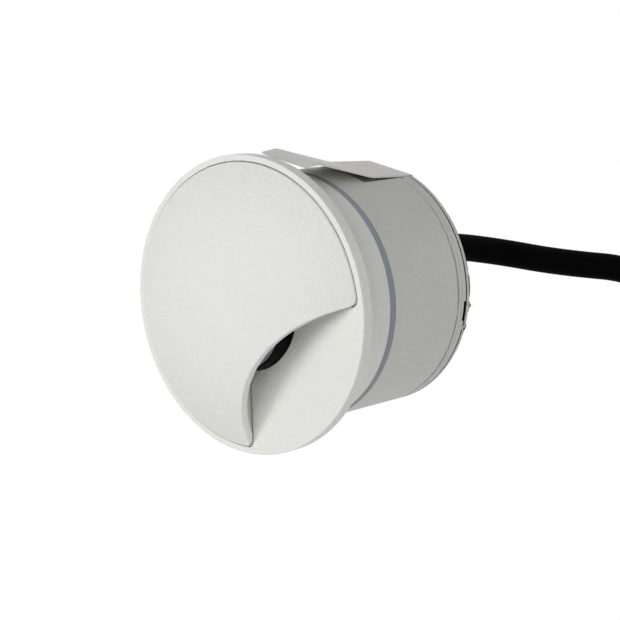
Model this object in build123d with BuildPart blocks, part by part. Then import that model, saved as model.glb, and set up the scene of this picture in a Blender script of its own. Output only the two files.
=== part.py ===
from build123d import *
import os
from math import cos, hypot, radians, sin, tan

# Recessed eyelid step light, in millimetres.
# Origin: centre of the front plate's rear face, which lies on the wall.
# +X is right seen from the front, +Y goes into the wall, +Z is up. "Depth" means Y.
# A clock angle goes from +Z towards +X, seen from the front.

# Front plate and neck
plate_radius = 40.0
plate_thickness = 3.7
plate_edge_round = 0.5
floor_thickness = 3.0
neck_wall = 4.5
neck_length = 14.6
spigot_gap = 0.2
spigot_length = 6.0

# Eyelid cover
lid_radius = 38.05
lid_gap = 0.3
lid_seat_depth = 0.8
lid_edge_rise = 0.4
lid_bulge = 13.2
lid_skin = 2.1
lid_rim_wall = 1.8
lid_corner_round = 2.2
mouth_half_angle = 47.0
mouth_top = 17.6
cheek_wall = 1.6
cheek_gap = 0.5
lip_gap = 0.15
lid_ring_bore = 19.5
lid_boss_radius = 3.1
lid_screw_inset = 3.0
lid_screw_clock = (0.0, 105.0, 255.0)
lid_screw_length = 6.5

# Barrel round the lens
baffle_radius = 17.3
baffle_tip_radius = 17.2
baffle_reach = 5.3
baffle_bore = 15.6
baffle_flange_reach = 1.5
baffle_flange = 2.0
baffle_tail_inset = 0.3
lens_inset = 0.1
lens_wall = 0.3
lens_thickness = 2.5
lens_gasket_thickness = 1.0
seal_ring_bore = 13.2
reflector_flange = 1.0
reflector_mouth = 14.4
reflector_throat = 10.5
reflector_wall = 1.2

# Light engine
led_board_depth = 9.0
led_board_radius = 19.0
led_board_thickness = 1.6
led_chip_size = 3.5
led_chip_pitch = 5.2
led_chip_height = 0.8
led_screw_circle = 13.0
led_screw_clock = (0.0, 120.0, 240.0)
led_screw_length = 4.6
thermal_pad_thickness = 0.5
sink_gap = 0.3
sink_thickness = 3.0
fin_height = 7.4
fin_field_inset = 2.0
fin_width = 1.2
fin_pitch = 4.0
sink_boss_inset = 3.6
sink_boss_radius = 3.0
sink_boss_clock = (45.0, 165.0, 285.0)
sink_screw_length = 8.0
lead_clock = 60.0
lead_circle = 13.0
lead_hole_radius = 2.2
lead_pitch = 2.0
led_lead_radius = 0.6

# Body
body_radius = 34.0
body_wall = 3.0
body_gasket_thickness = 2.4
body_length = 30.7
shelf_inset = 5.0
shelf_thickness = 3.0
shelf_reach = 10.0
body_post_inset = 3.4
body_post_radius = 3.25
body_post_clock = (75.0, 195.0, 315.0)
body_screw_length = 12.0
groove_inset = 3.7
groove_width = 0.9
groove_depth = 0.9
line_inset = 1.8
line_width = 0.2
line_depth = 0.25

# Driver
standoff_inset = 6.5
standoff_clock = (15.0, 135.0, 255.0)
standoff_length = 13.0
standoff_radius = 2.6
standoff_stud = 2.4
standoff_stud_radius = 1.25
driver_board_inset = 3.5
driver_board_thickness = 1.6
driver_screw_length = 6.0
transformer_size = (15.0, 10.0, 13.0)
transformer_spot = (-6.0, -7.5)
capacitor_radius = 4.0
capacitor_height = 10.5
capacitor_spots = ((8.0, -10.0), (12.5, -2.0))
choke_radius = 4.5
choke_height = 8.0
choke_spot = (-8.0, 9.0)
fuse_size = (6.0, 4.0, 3.0)
fuse_spot = (3.0, 14.0)

# Rear cover
rear_gasket_thickness = 0.7
rear_gasket_inset = 0.25
rear_gasket_reach = 10.4
cover_thickness = 1.1
cover_edge_round = 0.5
cover_screw_inset = 2.45
cover_screw_clock = (147.4, 327.4)
cover_screw_length = 9.0
cover_boss_inset = 3.8
cover_boss_radius = 3.4
cover_boss_length = 7.3
pry_notch_width = 5.6
pry_notch_length = 0.8
pry_notch_reach = 1.1

# Leaf spring clips
clip_clock = 60.4
clip_width = 15.6
clip_thickness = 0.6
clip_tab_reach = 14.0
clip_heel_inset = 0.8
clip_bend_rise = 0.4
clip_bend_inset = 17.7
clip_crest_rise = 6.0
clip_crest_depth = 8.7
clip_tip_rise = 5.5
clip_tip_depth = 3.2
clip_screw_inset = 6.4
clip_screw_length = 7.5
clip_boss_radius = 3.6
pocket_depth = 1.5
pocket_side_gap = 0.25
pocket_start = 28.0

# Cable and gland
cable_radius = 4.1
cable_height = 8.1
gland_thread_radius = 6.0
gland_thread_reach = 3.6
gland_flange_radius = 9.8
gland_flange = 2.0
gland_body_radius = 7.0
gland_neck = 2.0
gland_bore = 5.5
gland_seal_seat = 0.5
gland_seal_thickness = 1.8
gland_nut_radius = 9.4
gland_nut_mouth = 6.0
gland_nut_wall = 1.3
locknut_radius = 8.6
locknut_thickness = 2.4
boot_collar_radius = 6.7
boot_collar = 1.0
boot_collar_gap = 0.1
boot_root_radius = 5.9
boot_tip_radius = 4.8
boot_length = 20.1
cable_inner_reach = 6.0
wire_radius = 0.9
wire_pitch = 2.3
core_radius = 1.1
core_length = 25.0
core_circle = 1.5
ferrule_radius = 1.25
ferrule_length = 8.0

# Fasteners
m3_radius = 1.5
m3_head_radius = 2.6
m3_head_height = 2.0
m3_low_head_height = 1.6
m25_radius = 1.25
m25_head_radius = 2.3
m25_head_height = 1.4
m25_small_head_radius = 2.0
m25_small_head_height = 1.6
m2_radius = 1.0
m2_head_radius = 1.8
m2_head_height = 1.2

# Clearances: threads, screw holes, seated parts
thread_gap = 0.05
hole_gap = 0.25
fit_gap = 0.15

# Radii and circles that follow from the body's and the barrel's
body_bore = body_radius - body_wall
neck_bore = body_radius - neck_wall
spigot_radius = body_bore - spigot_gap
lid_screw_circle = neck_bore - lid_screw_inset
baffle_flange_radius = baffle_radius + baffle_flange_reach
baffle_tail_radius = baffle_radius - baffle_tail_inset
lens_seat_radius = baffle_tip_radius - lens_wall
lens_radius = lens_seat_radius - fit_gap
sink_radius = neck_bore - sink_gap
sink_boss_circle = neck_bore - sink_boss_inset
fin_field_radius = sink_boss_circle - m3_head_radius - fin_field_inset
shelf_bore = body_bore - shelf_reach
body_post_circle = body_bore - body_post_inset
standoff_circle = body_bore - standoff_inset
driver_board_radius = body_bore - driver_board_inset
rear_gasket_radius = body_radius - rear_gasket_inset
rear_gasket_bore = body_radius - rear_gasket_reach
cover_screw_circle = body_radius - cover_screw_inset
cover_boss_circle = body_radius - cover_boss_inset
clip_screw_circle = body_radius - clip_screw_inset
pocket_floor = body_radius - pocket_depth

# Depths that follow from the sizes above
plate_front = -plate_thickness
floor_rear = plate_front + floor_thickness
lid_base = plate_front + lid_seat_depth
lid_edge = plate_front - lid_edge_rise
lid_apex = plate_front - lid_bulge
baffle_tip = plate_front - baffle_reach
lens_front = baffle_tip + lens_inset
lens_rear = lens_front + lens_thickness
reflector_front = lens_rear + lens_gasket_thickness
led_board_rear = led_board_depth + led_board_thickness
sink_front = led_board_rear + thermal_pad_thickness
sink_rear = sink_front + sink_thickness
spigot_end = neck_length + spigot_length
body_front = neck_length + body_gasket_thickness
body_rear = body_front + body_length
shelf_front = body_front + shelf_inset
shelf_rear = shelf_front + shelf_thickness
driver_front = shelf_rear + standoff_length
driver_rear = driver_front + driver_board_thickness
cover_front = body_rear + rear_gasket_thickness
cover_rear = cover_front + cover_thickness
clip_rear = cover_rear + clip_thickness
gland_seat = cover_rear + gland_flange
gland_neck_end = gland_seat + gland_neck
boot_start = gland_seat + gland_seal_seat
boot_end = boot_start + boot_length
collar_front = gland_neck_end + boot_collar_gap
collar_rear = collar_front + boot_collar
cable_start = cover_front - cable_inner_reach

# Spheres of the lid: one centre, two radii
lid_height = lid_edge - lid_apex
dome_radius = (lid_radius**2 + lid_height**2) / (2 * lid_height)
dome_centre = lid_apex + dome_radius

# The mouth's arch, from corner to corner over the top of the barrel
corner_x = lid_radius * sin(radians(mouth_half_angle))
arch_rise = lid_radius * cos(radians(mouth_half_angle)) - mouth_top
arch_radius = (corner_x**2 + arch_rise**2) / (2 * arch_rise)


def at_depth(depth):
    """Sketch plane facing the viewer: local x is X, local y is Z, and extrusion goes forward."""
    return Plane.XZ.offset(-depth)


def clock(radius, *angles):
    return [(radius * sin(radians(a)), radius * cos(radians(a))) for a in angles]


def turn(*outline, mode=Mode.ADD):
    """Turn a closed outline of (radius, depth) points round the light's axis."""
    with BuildSketch(Plane.XY) as profile:
        with BuildLine():
            Polyline(*outline, close=True)
        make_face()
    revolve(profile.sketch, axis=Axis.Y, mode=mode)


def rod(radius, front, rear, spots=((0, 0),), mode=Mode.ADD):
    """Round bars along the depth, one at each (x, z) spot."""
    with BuildSketch(at_depth(rear)) as disc:
        with Locations(*spots):
            Circle(radius)
    extrude(disc.sketch, amount=rear - front, mode=mode)


def hexagon(radius, front, rear, spots=((0, 0),), mode=Mode.ADD):
    with BuildSketch(at_depth(rear)) as outline:
        with Locations(*spots):
            RegularPolygon(radius, 6)
    extrude(outline.sketch, amount=rear - front, mode=mode)


def block(size, rear, spot):
    """A box of (width, depth, height) whose rear face stands at a depth."""
    with BuildSketch(at_depth(rear)) as outline:
        with Locations(spot):
            Rectangle(size[0], size[2])
    extrude(outline.sketch, amount=size[1])


def screws(thread, seat, length, spots):
    """Pan-head screws driven from the rear, with a hexagon socket. seat is under the head."""
    radius, head_radius, head_height = thread
    rod(head_radius, seat, seat + head_height, spots)
    rod(radius, seat - length, seat, spots)
    hexagon(head_radius / 2, seat + head_height / 2, seat + head_height, spots, mode=Mode.SUBTRACT)


def dome(radius):
    """Cap of a ball round the dome centre, cut to the lid's outline and its flat base."""
    with Locations((0, dome_centre, 0)):
        Sphere(radius)
    rod(lid_radius, lid_apex, lid_base, mode=Mode.INTERSECT)


def mouth_wedge(inset=0.0, mode=Mode.SUBTRACT):
    """Front outline of the mouth between the cheeks, drawn in by the inset."""
    reach = 2 * plate_radius
    tip = -inset / sin(radians(mouth_half_angle))
    side = reach * tan(radians(mouth_half_angle))
    with BuildLine() as edge:
        Polyline((0, tip), (side, tip - reach), (-side, tip - reach), close=True)
    make_face(edge.edges(), mode=mode)


def radial_plane(angle):
    """Plane through the axis at a clock angle: local x is distance from the axis, y is depth."""
    t = radians(angle)
    return Plane(origin=(0, 0, 0), x_dir=(sin(t), 0, cos(t)), z_dir=(-cos(t), 0, sin(t)))


def clip_pocket(front, rear):
    """Flats across the round body, in which the two clips lie."""
    for angle in (clip_clock, clip_clock + 180):
        with BuildSketch(radial_plane(angle)) as side:
            with Locations((pocket_floor, front)):
                Rectangle(body_radius, rear - front, align=(Align.MIN, Align.MIN))
        extrude(side.sketch, amount=clip_width / 2 + pocket_side_gap, both=True, mode=Mode.SUBTRACT)


def strip(angle, *outline):
    """A piece of the clip's strip from its closed side outline of (distance, depth) points."""
    with BuildSketch(radial_plane(angle)) as side:
        with BuildLine():
            Polyline(*outline, close=True)
        make_face()
    extrude(side.sketch, amount=clip_width / 2, both=True)


def inner_corner(before, corner, after):
    """The corner of the strip's inner face, opposite an outer one; all are (distance, depth)."""
    (ax, ay), (bx, by), (cx, cy) = before, corner, after
    first = (bx - ax) / hypot(bx - ax, by - ay), (by - ay) / hypot(bx - ax, by - ay)
    second = (cx - bx) / hypot(cx - bx, cy - by), (cy - by) / hypot(cx - bx, cy - by)
    normal = (first[1] + second[1], -first[0] - second[0])
    scale = clip_thickness / (normal[0] * first[1] - normal[1] * first[0])
    return bx + normal[0] * scale, by + normal[1] * scale


m3 = (m3_radius, m3_head_radius, m3_head_height)
m3_low = (m3_radius, m3_head_radius, m3_low_head_height)
m25 = (m25_radius, m25_head_radius, m25_head_height)
m25_small = (m25_radius, m25_small_head_radius, m25_small_head_height)
body_posts = clock(body_post_circle, *body_post_clock)
sink_bosses = clock(sink_boss_circle, *sink_boss_clock)
lid_spots = clock(lid_screw_circle, *lid_screw_clock)
led_spots = clock(led_screw_circle, *led_screw_clock)
standoff_spots = clock(standoff_circle, *standoff_clock)
cover_spots = clock(cover_screw_circle, *cover_screw_clock)
cover_bosses = clock(cover_boss_circle, *cover_screw_clock)
clip_spots = clock(clip_screw_circle, clip_clock, clip_clock + 180)
lead_spot = clock(lead_circle, lead_clock)
lead_spots = [(x + side * lead_pitch / 2, z) for x, z in lead_spot for side in (-1, 1)]
cable_spot = [(0, cable_height)]
wire_spots = [(side * wire_pitch, cable_height) for side in (-1, 0, 1)]

with BuildPart() as front_bezel:
    aperture = baffle_radius + fit_gap
    turn(
        (aperture, plate_front),
        (plate_radius, plate_front),
        (plate_radius, 0),
        (body_radius, 0),
        (body_radius, neck_length),
        (spigot_radius, neck_length),
        (spigot_radius, spigot_end),
        (neck_bore, spigot_end),
        (neck_bore, floor_rear),
        (aperture, floor_rear),
    )
    outer_edges = front_bezel.edges().filter_by(GeomType.CIRCLE).group_by(SortBy.RADIUS)[-1]
    fillet(outer_edges, plate_edge_round)
    rod(body_post_radius, floor_rear, shelf_front, body_posts)
    rod(sink_boss_radius, floor_rear, sink_front, sink_bosses)
    with BuildSketch(at_depth(lid_base)) as lid_seat:
        Circle(lid_radius + lid_gap)
        Circle(lid_ring_bore - lid_gap, mode=Mode.SUBTRACT)
        mouth_wedge(cheek_gap)
    extrude(lid_seat.sketch, amount=lid_seat_depth, mode=Mode.SUBTRACT)
    rod(m3_radius + hole_gap, lid_base, floor_rear, lid_spots, mode=Mode.SUBTRACT)
    body_pilot_end = shelf_rear - body_screw_length
    rod(m3_radius + thread_gap, body_pilot_end, shelf_front, body_posts, mode=Mode.SUBTRACT)
    sink_pilot_end = sink_rear - sink_screw_length
    rod(m3_radius + thread_gap, sink_pilot_end, sink_front, sink_bosses, mode=Mode.SUBTRACT)

# Space under the lid's skin, less the walls that stand in it
with BuildPart() as under_skin:
    dome(dome_radius - lid_skin)
    with BuildSketch(at_depth(lid_base)) as lid_walls:
        Circle(lid_radius)
        Circle(lid_radius - lid_rim_wall, mode=Mode.SUBTRACT)
        Circle(lid_ring_bore + cheek_wall)
        Circle(lid_ring_bore, mode=Mode.SUBTRACT)
        for side in (-1, 1):
            lean = radians(mouth_half_angle)
            along = (side * sin(lean), -cos(lean))
            aside = (side * cos(lean), sin(lean))
            inner = (lid_ring_bore * along[0], lid_ring_bore * along[1])
            outer = (lid_radius * along[0], lid_radius * along[1])
            with BuildLine():
                Polyline(
                    inner,
                    outer,
                    (outer[0] + cheek_wall * aside[0], outer[1] + cheek_wall * aside[1]),
                    (inner[0] + cheek_wall * aside[0], inner[1] + cheek_wall * aside[1]),
                    close=True,
                )
            make_face()
        mouth_wedge()
        with Locations(*lid_spots):
            Circle(lid_boss_radius)
    extrude(lid_walls.sketch, amount=lid_base - lid_apex, mode=Mode.SUBTRACT)

with BuildPart() as eyelid_cover:
    dome(dome_radius)
    add(under_skin.part, mode=Mode.SUBTRACT)
    with BuildSketch(at_depth(lid_base)) as lid_outline:
        Circle(lid_radius)
        with Locations((0, -mouth_top - arch_radius)):
            Circle(arch_radius, mode=Mode.SUBTRACT)
        fillet(lid_outline.vertices().group_by(Axis.Y)[0], lid_corner_round)
    extrude(lid_outline.sketch, amount=lid_base - lid_apex, mode=Mode.INTERSECT)
    with BuildSketch(at_depth(lid_base)) as mouth_floor:
        mouth_wedge(mode=Mode.ADD)
    extrude(mouth_floor.sketch, amount=lid_seat_depth + lip_gap, mode=Mode.SUBTRACT)
    lid_pilot_end = floor_rear - lid_screw_length - thread_gap
    rod(m3_radius + thread_gap, lid_pilot_end, lid_base, lid_spots, mode=Mode.SUBTRACT)

with BuildPart() as lid_screws:
    screws(m3, floor_rear, lid_screw_length, lid_spots)

with BuildPart() as baffle_ring:
    turn(
        (lens_seat_radius, baffle_tip),
        (baffle_tip_radius, baffle_tip),
        (baffle_radius, plate_front),
        (baffle_radius, floor_rear),
        (baffle_flange_radius, floor_rear),
        (baffle_flange_radius, floor_rear + baffle_flange),
        (baffle_tail_radius, floor_rear + baffle_flange),
        (baffle_tail_radius, led_board_depth),
        (baffle_bore, led_board_depth),
        (baffle_bore, reflector_front),
        (lens_seat_radius, reflector_front),
    )

with BuildPart() as lens:
    rod(lens_radius, lens_front, lens_rear)

with BuildPart() as lens_gasket:
    rod(lens_radius, lens_rear, reflector_front)
    rod(seal_ring_bore, lens_rear, reflector_front, mode=Mode.SUBTRACT)

with BuildPart() as reflector:
    turn(
        (reflector_mouth - reflector_wall, reflector_front),
        (baffle_bore - fit_gap, reflector_front),
        (baffle_bore - fit_gap, reflector_front + reflector_flange),
        (reflector_mouth, reflector_front + reflector_flange),
        (reflector_throat, led_board_depth),
        (reflector_throat - reflector_wall, led_board_depth),
    )

with BuildPart() as led_board:
    rod(led_board_radius, led_board_depth, led_board_rear)
    rod(m2_radius + hole_gap, led_board_depth, led_board_rear, led_spots, mode=Mode.SUBTRACT)

with BuildPart() as led_chips:
    with BuildSketch(at_depth(led_board_depth)) as chip_outline:
        with GridLocations(led_chip_pitch, led_chip_pitch, 2, 2):
            Rectangle(led_chip_size, led_chip_size)
    extrude(chip_outline.sketch, amount=led_chip_height)

with BuildPart() as led_board_screws:
    led_screw_top = led_board_depth - m2_head_height
    rod(m2_head_radius, led_screw_top, led_board_depth, led_spots)
    rod(m2_radius, led_board_depth, led_board_depth + led_screw_length, led_spots)
    socket_floor = led_screw_top + m2_head_height / 2
    hexagon(m2_head_radius / 2, led_screw_top, socket_floor, led_spots, mode=Mode.SUBTRACT)

with BuildPart() as thermal_pad:
    rod(led_board_radius, led_board_rear, sink_front)
    rod(m2_radius + hole_gap, led_board_rear, sink_front, led_spots, mode=Mode.SUBTRACT)
    rod(lead_hole_radius, led_board_rear, sink_front, lead_spot, mode=Mode.SUBTRACT)

with BuildPart() as heat_sink:
    rod(sink_radius, sink_front, sink_rear)
    with BuildSketch(at_depth(sink_rear + fin_height)) as fins:
        with GridLocations(fin_pitch, 0, int(2 * fin_field_radius / fin_pitch) - 1, 1):
            Rectangle(fin_width, 2 * fin_field_radius)
        Circle(fin_field_radius, mode=Mode.INTERSECT)
    extrude(fins.sketch, amount=fin_height)
    rod(body_post_radius + hole_gap, sink_front, sink_rear, body_posts, mode=Mode.SUBTRACT)
    rod(m3_radius + hole_gap, sink_front, sink_rear, sink_bosses, mode=Mode.SUBTRACT)
    rod(lead_hole_radius, sink_front, sink_rear + fin_height, lead_spot, mode=Mode.SUBTRACT)
    led_pilot_end = led_board_depth + led_screw_length + thread_gap
    rod(m2_radius + thread_gap, sink_front, led_pilot_end, led_spots, mode=Mode.SUBTRACT)

with BuildPart() as heat_sink_screws:
    screws(m3, sink_rear, sink_screw_length - thread_gap, sink_bosses)

with BuildPart() as body_gasket:
    rod(body_radius, neck_length, body_front)
    rod(body_bore, neck_length, body_front, mode=Mode.SUBTRACT)

with BuildPart() as housing:
    groove_front = body_rear - groove_inset
    line_front = body_rear - line_inset
    turn(
        (body_bore, body_front),
        (body_radius, body_front),
        (body_radius, groove_front),
        (body_radius - groove_depth, groove_front),
        (body_radius - groove_depth, groove_front + groove_width),
        (body_radius, groove_front + groove_width),
        (body_radius, line_front),
        (body_radius - line_depth, line_front),
        (body_radius - line_depth, line_front + line_width),
        (body_radius, line_front + line_width),
        (body_radius, body_rear),
        (body_bore, body_rear),
        (body_bore, shelf_rear),
        (shelf_bore, shelf_rear),
        (shelf_bore, shelf_front),
        (body_bore, shelf_front),
    )
    rod(clip_boss_radius, body_rear - cover_boss_length, body_rear, clip_spots)
    rod(cover_boss_radius, body_rear - cover_boss_length, body_rear, cover_bosses)
    rod(m3_radius + hole_gap, shelf_front, shelf_rear, body_posts, mode=Mode.SUBTRACT)
    stud_end = shelf_rear - standoff_stud - thread_gap
    rod(standoff_stud_radius + thread_gap, stud_end, shelf_rear, standoff_spots, mode=Mode.SUBTRACT)
    clip_pilot_end = clip_rear - clip_screw_length
    rod(m3_radius + thread_gap, clip_pilot_end, body_rear, clip_spots, mode=Mode.SUBTRACT)
    cover_pilot_end = cover_rear - cover_screw_length
    rod(m25_radius + thread_gap, cover_pilot_end, body_rear, cover_spots, mode=Mode.SUBTRACT)
    clip_pocket(pocket_start, body_rear)
    # Notches under the cover's edge, where a blade lifts it, one at each cover screw
    for angle in cover_screw_clock:
        with BuildSketch(radial_plane(angle)) as notch:
            with Locations((body_radius - pry_notch_reach, body_rear - pry_notch_length)):
                Rectangle(2 * pry_notch_reach, pry_notch_length, align=(Align.MIN, Align.MIN))
        extrude(notch.sketch, amount=pry_notch_width / 2, both=True, mode=Mode.SUBTRACT)

with BuildPart() as body_screws:
    screws(m3, shelf_rear, body_screw_length - thread_gap, body_posts)

with BuildPart() as driver_standoffs:
    hexagon(standoff_radius, shelf_rear, driver_front, standoff_spots)
    rod(standoff_stud_radius, shelf_rear - standoff_stud, shelf_rear, standoff_spots)
    standoff_hole = driver_rear - driver_screw_length
    rod(m25_radius + thread_gap, standoff_hole, driver_front, standoff_spots, mode=Mode.SUBTRACT)

with BuildPart() as driver_board:
    rod(driver_board_radius, driver_front, driver_rear)
    rod(m25_radius + hole_gap, driver_front, driver_rear, standoff_spots, mode=Mode.SUBTRACT)

with BuildPart() as driver_screws:
    screws(m25, driver_rear, driver_screw_length - thread_gap, standoff_spots)

with BuildPart() as driver_transformer:
    block(transformer_size, driver_front, transformer_spot)

with BuildPart() as driver_capacitors:
    rod(capacitor_radius, driver_front - capacitor_height, driver_front, capacitor_spots)

with BuildPart() as driver_choke:
    rod(choke_radius, driver_front - choke_height, driver_front, [choke_spot])

with BuildPart() as driver_fuse:
    block(fuse_size, driver_front, fuse_spot)

with BuildPart() as led_leads:
    rod(led_lead_radius, led_board_rear, driver_front, lead_spots)

with BuildPart() as rear_gasket:
    rod(rear_gasket_radius, body_rear, cover_front)
    rod(rear_gasket_bore, body_rear, cover_front, mode=Mode.SUBTRACT)
    rod(m3_radius + hole_gap, body_rear, cover_front, clip_spots, mode=Mode.SUBTRACT)
    rod(m25_radius + hole_gap, body_rear, cover_front, cover_spots, mode=Mode.SUBTRACT)
    clip_pocket(body_rear, cover_front)

with BuildPart() as rear_cover:
    rod(body_radius, cover_front, cover_rear)
    fillet(rear_cover.edges().group_by(Axis.Y)[-1], cover_edge_round)
    rod(m3_radius + hole_gap, cover_front, cover_rear, clip_spots, mode=Mode.SUBTRACT)
    rod(m25_radius + hole_gap, cover_front, cover_rear, cover_spots, mode=Mode.SUBTRACT)
    rod(gland_thread_radius + thread_gap, cover_front, cover_rear, cable_spot, mode=Mode.SUBTRACT)
    clip_pocket(cover_front, cover_rear)

with BuildPart() as rear_cover_screws:
    screws(m25_small, cover_rear, cover_screw_length - thread_gap, cover_spots)

with BuildPart() as clip_screws:
    screws(m3_low, clip_rear, clip_screw_length - thread_gap, clip_spots)

# Side outline of the clip's outer face, and the matching corners of its inner face
clip_tab_end = (body_radius - clip_tab_reach, clip_rear)
clip_tab_inner = (body_radius - clip_tab_reach, cover_rear)
clip_fold = (body_radius - clip_heel_inset, clip_rear)
clip_bend = (body_radius + clip_bend_rise, cover_rear - clip_bend_inset)
clip_top = (body_radius + clip_crest_rise, clip_crest_depth)
clip_end = (body_radius + clip_tip_rise, clip_tip_depth)
fold_inner = inner_corner(clip_tab_end, clip_fold, clip_bend)
bend_inner = inner_corner(clip_fold, clip_bend, clip_top)
top_inner = inner_corner(clip_bend, clip_top, clip_end)
end_slope = hypot(clip_end[0] - clip_top[0], clip_end[1] - clip_top[1])
end_inner = (
    clip_end[0] + clip_thickness * (clip_end[1] - clip_top[1]) / end_slope,
    clip_end[1] - clip_thickness * (clip_end[0] - clip_top[0]) / end_slope,
)
clip_pieces = {}
for side, angle in (("upper", clip_clock), ("lower", clip_clock + 180)):
    screw_hole = clock(clip_screw_circle, angle)
    with BuildPart() as clip_foot:
        strip(angle, clip_tab_end, clip_fold, clip_bend, bend_inner, fold_inner, clip_tab_inner)
        rod(m3_radius + hole_gap, cover_rear, clip_rear, screw_hole, mode=Mode.SUBTRACT)
    with BuildPart() as clip_arm:
        strip(angle, clip_bend, clip_top, clip_end, end_inner, top_inner, bend_inner)
    clip_pieces[f"{side}_clip_foot"] = clip_foot
    clip_pieces[f"{side}_clip_arm"] = clip_arm
print("clip hinge: distance", round(bend_inner[0], 3), "depth", round(bend_inner[1], 3))

gland_front = cover_front - gland_thread_reach
seal_front = boot_start - gland_seal_thickness
with BuildPart() as cable_gland:
    hexagon(gland_flange_radius, cover_rear, gland_seat, cable_spot)
    rod(gland_thread_radius, gland_front, cover_rear, cable_spot)
    rod(gland_body_radius, gland_seat, gland_neck_end, cable_spot)
    rod(cable_radius + fit_gap, gland_front, gland_neck_end, cable_spot, mode=Mode.SUBTRACT)
    rod(gland_bore, seal_front, gland_neck_end, cable_spot, mode=Mode.SUBTRACT)

with BuildPart() as gland_seal:
    rod(gland_bore - thread_gap, seal_front, boot_start, cable_spot)
    rod(cable_radius + thread_gap, seal_front, boot_start, cable_spot, mode=Mode.SUBTRACT)

with BuildPart() as gland_locknut:
    locknut_front = cover_front - locknut_thickness
    hexagon(locknut_radius, locknut_front, cover_front, cable_spot)
    rod(gland_thread_radius + thread_gap, locknut_front, cover_front, cable_spot, mode=Mode.SUBTRACT)

with BuildPart() as gland_nut:
    hexagon(gland_nut_radius, gland_seat, collar_rear + gland_nut_wall, cable_spot)
    rod(gland_body_radius + thread_gap, gland_seat, collar_rear, cable_spot, mode=Mode.SUBTRACT)
    rod(gland_nut_mouth, collar_rear, collar_rear + gland_nut_wall, cable_spot, mode=Mode.SUBTRACT)

# Rubber boot: sleeve in the gland, collar under the nut, then a taper along the cable
with BuildPart() as strain_relief:
    rod(gland_bore - thread_gap, boot_start, collar_front, cable_spot)
    rod(boot_collar_radius, collar_front, collar_rear, cable_spot)
    with BuildSketch(at_depth(collar_rear)) as boot_root:
        with Locations(*cable_spot):
            Circle(boot_root_radius)
    with BuildSketch(at_depth(boot_end)) as boot_tip:
        with Locations(*cable_spot):
            Circle(boot_tip_radius)
    loft([boot_root.sketch.face(), boot_tip.sketch.face()])
    rod(cable_radius + thread_gap, boot_start, boot_end, cable_spot, mode=Mode.SUBTRACT)

with BuildPart() as cable_inner:
    rod(cable_radius, cable_start, boot_end, cable_spot)

with BuildPart() as lead_wires:
    rod(wire_radius, driver_rear, cable_start, wire_spots)

# Free cable: chosen points, counted from the boot's end, each corner rounded by what its runs allow
cable_points = [
    (0, 0, 0),
    (0, 17.2, 0),
    (1.6, 35.4, -6.7),
    (6.5, 52.9, -19.5),
    (17.5, 69.9, -36.1),
    (22.0, 82.9, -69.1),
    (22.5, 86.4, -119.1),
    (21.0, 83.9, -172.1),
    (20.0, 80.4, -223.6),
]
route = [(x, boot_end + y, cable_height + z) for x, y, z in cable_points]
corner_share = 0.45
corner_radii = []
for before, corner, after in zip(route, route[1:], route[2:]):
    first = Vector(*corner) - Vector(*before)
    second = Vector(*after) - Vector(*corner)
    half_turn = radians(first.get_angle(second) / 2)
    corner_radii.append(corner_share * min(first.length, second.length) / tan(half_turn))
print("cable corner radii", [round(r, 1) for r in corner_radii])

with BuildPart() as power_cable:
    with BuildLine() as cable_path:
        FilletPolyline(*route, radius=corner_radii)
    with BuildSketch(Plane(route[0], z_dir=(0, 1, 0))) as cable_section:
        Circle(cable_radius)
    sweep(cable_section.sketch, path=cable_path.wire())
cable_wire = cable_path.wire()
cable_length = cable_wire.length
cable_volume = cable_section.sketch.area * cable_length
volume_ratio = power_cable.part.volume / cable_volume
print("cable length", round(cable_length, 1), "volume ratio", round(volume_ratio, 4))

# Stripped end: three cores, each with a crimped ferrule
cable_end = Plane(cable_wire @ 1, z_dir=cable_wire % 1)
with BuildPart() as cable_cores:
    with BuildSketch(cable_end) as core_section:
        with PolarLocations(core_circle, 3):
            Circle(core_radius)
    extrude(core_section.sketch, amount=core_length - ferrule_length)

with BuildPart() as core_ferrules:
    with BuildSketch(cable_end.offset(core_length - ferrule_length)) as ferrule_section:
        with PolarLocations(core_circle, 3):
            Circle(ferrule_radius)
    extrude(ferrule_section.sketch, amount=ferrule_length)

pieces = {
    "front_bezel": front_bezel,
    "eyelid_cover": eyelid_cover,
    "lid_screws": lid_screws,
    "baffle_ring": baffle_ring,
    "lens": lens,
    "lens_gasket": lens_gasket,
    "reflector": reflector,
    "led_board": led_board,
    "led_chips": led_chips,
    "led_board_screws": led_board_screws,
    "thermal_pad": thermal_pad,
    "heat_sink": heat_sink,
    "heat_sink_screws": heat_sink_screws,
    "body_gasket": body_gasket,
    "housing": housing,
    "body_screws": body_screws,
    "driver_standoffs": driver_standoffs,
    "driver_board": driver_board,
    "driver_screws": driver_screws,
    "driver_transformer": driver_transformer,
    "driver_capacitors": driver_capacitors,
    "driver_choke": driver_choke,
    "driver_fuse": driver_fuse,
    "led_leads": led_leads,
    "rear_gasket": rear_gasket,
    "rear_cover": rear_cover,
    "rear_cover_screws": rear_cover_screws,
    "clip_screws": clip_screws,
    "cable_gland": cable_gland,
    "gland_seal": gland_seal,
    "gland_locknut": gland_locknut,
    "gland_nut": gland_nut,
    "strain_relief": strain_relief,
    "cable_inner": cable_inner,
    "lead_wires": lead_wires,
    "power_cable": power_cable,
    "cable_cores": cable_cores,
    "core_ferrules": core_ferrules,
    **clip_pieces,
}
os.makedirs("parts", exist_ok=True)
for name, piece in pieces.items():
    piece.part.label = name
    export_step(piece.part, f"parts/{name}.step")
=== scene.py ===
import math

import bpy
from mathutils import Matrix, Vector


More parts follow.
